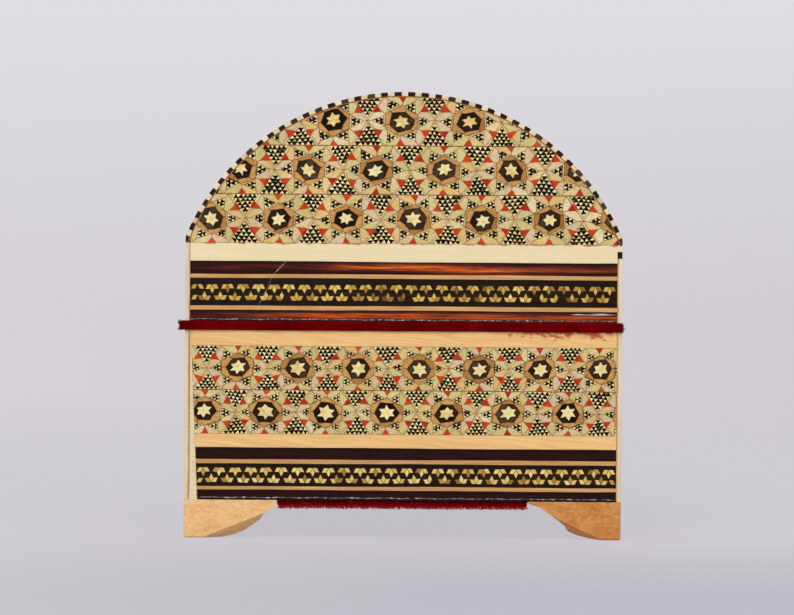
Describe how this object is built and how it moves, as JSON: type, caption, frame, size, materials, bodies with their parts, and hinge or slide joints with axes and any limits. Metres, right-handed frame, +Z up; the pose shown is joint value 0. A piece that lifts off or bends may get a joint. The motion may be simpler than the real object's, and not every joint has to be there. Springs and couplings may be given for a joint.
{
  "type": "inlaid wooden box",
  "caption": "Barrel-lidded wooden keepsake box on corner feet, inlaid with star marquetry and bone, with velvet lining and a lid hinged at the back.",
  "frame": {"origin": "on the ground, at the middle of the box's plan; the feet's flats are at Z = 0", "axes": "+X along the box towards its right end, -Y towards its front, +Y towards the hinges, +Z up"},
  "size_m": [0.17, 0.115, 0.1151],
  "materials": {
    "board_wood": "plain sawn board",
    "maple_wood": "lacquered light maple",
    "rosewood": "glossy lacquered dark rosewood",
    "light_wood_line": "lacquered thin orange wood line",
    "ebony": "lacquered black wood",
    "star_inlay": "lacquered inlay of yellow half stars in black",
    "khatam_inlay": "lacquered star marquetry in bone and coloured woods",
    "bone": "lacquered cream bone",
    "red_velvet": "deep red velvet pile",
    "hinge_brass": "aged brass",
    "pin_steel": "plain steel wire"
  },
  "bodies": {
    "body": {"base_front_board": "board_wood", "base_back_board": "board_wood", "base_left_board": "board_wood", "base_right_board": "board_wood", "base_floor_board": "board_wood", "foot_front_left": "maple_wood", "foot_front_right": "maple_wood", "foot_back_left": "maple_wood", "foot_back_right": "maple_wood", "base_front_khatam": "khatam_inlay", "base_back_khatam": "khatam_inlay", "base_left_khatam": "khatam_inlay", "base_right_khatam": "khatam_inlay", "base_upper_maple_strips": "maple_wood", "base_lower_maple_strips": "maple_wood", "base_upper_rosewood_strips": "rosewood", "base_lower_rosewood_strips": "rosewood", "base_light_lines": "light_wood_line", "base_black_lines": "ebony", "base_star_bands": "star_inlay", "base_corner_edging": "bone", "base_taper_slip": "bone", "base_floor_velvet": "red_velvet", "base_wall_velvet": "red_velvet", "base_rim_velvet": "red_velvet", "underside_velvet": "red_velvet", "hinge_left_base_leaf": "hinge_brass", "hinge_right_base_leaf": "hinge_brass", "hinge_left_pin": "pin_steel", "hinge_right_pin": "pin_steel", "hinge_base_nails": "hinge_brass"},
    "lid": {"lid_front_rail": "board_wood", "lid_back_rail": "board_wood", "lid_left_end": "board_wood", "lid_right_end": "board_wood", "lid_dome_board": "board_wood", "lid_dome_khatam": "khatam_inlay", "lid_left_khatam": "khatam_inlay", "lid_right_khatam": "khatam_inlay", "lid_bone_strips": "bone", "lid_upper_rosewood_strips": "rosewood", "lid_lower_rosewood_strips": "rosewood", "lid_light_lines": "light_wood_line", "lid_black_lines": "ebony", "lid_star_bands": "star_inlay", "lid_corner_edging": "bone", "check_dark_blocks": "ebony", "check_bone_blocks": "bone", "lid_dome_velvet": "red_velvet", "lid_wall_velvet": "red_velvet", "lid_rim_velvet": "red_velvet", "hinge_left_lid_leaf": "hinge_brass", "hinge_right_lid_leaf": "hinge_brass", "hinge_lid_nails": "hinge_brass"}
  },
  "joints": [
    {"name": "lid_hinge", "type": "hinge", "parent": "body", "child": "lid", "pos_m": [0, 0.0564, 0.0547], "axis": [-1, 0, 0], "range_deg": [0, 105]}
  ]
}
